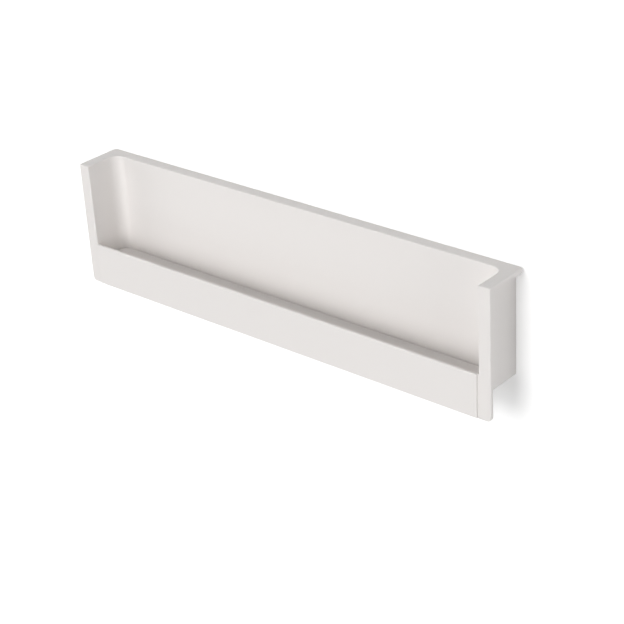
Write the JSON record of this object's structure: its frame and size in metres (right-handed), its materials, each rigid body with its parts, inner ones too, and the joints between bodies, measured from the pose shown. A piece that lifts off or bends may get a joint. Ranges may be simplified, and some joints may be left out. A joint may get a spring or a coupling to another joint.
{
  "type": "recessed drawer pull",
  "caption": "Long recessed pull that fills a notch in the top edge of a drawer front, with a finger recess behind a low front lip, seen lying on its back.",
  "frame": {"origin": "under the middle of the handle as it lies on its back: half way along its length and its height, level with its back", "axes": "+X along the handle, +Y up the drawer front towards the rim, +Z from the back out towards the user"},
  "size_m": [0.223, 0.0578, 0.0233],
  "materials": {
    "moulding": "smooth satin white"
  },
  "bodies": {
    "root": {"handle_body": "moulding"}
  },
  "joints": []
}
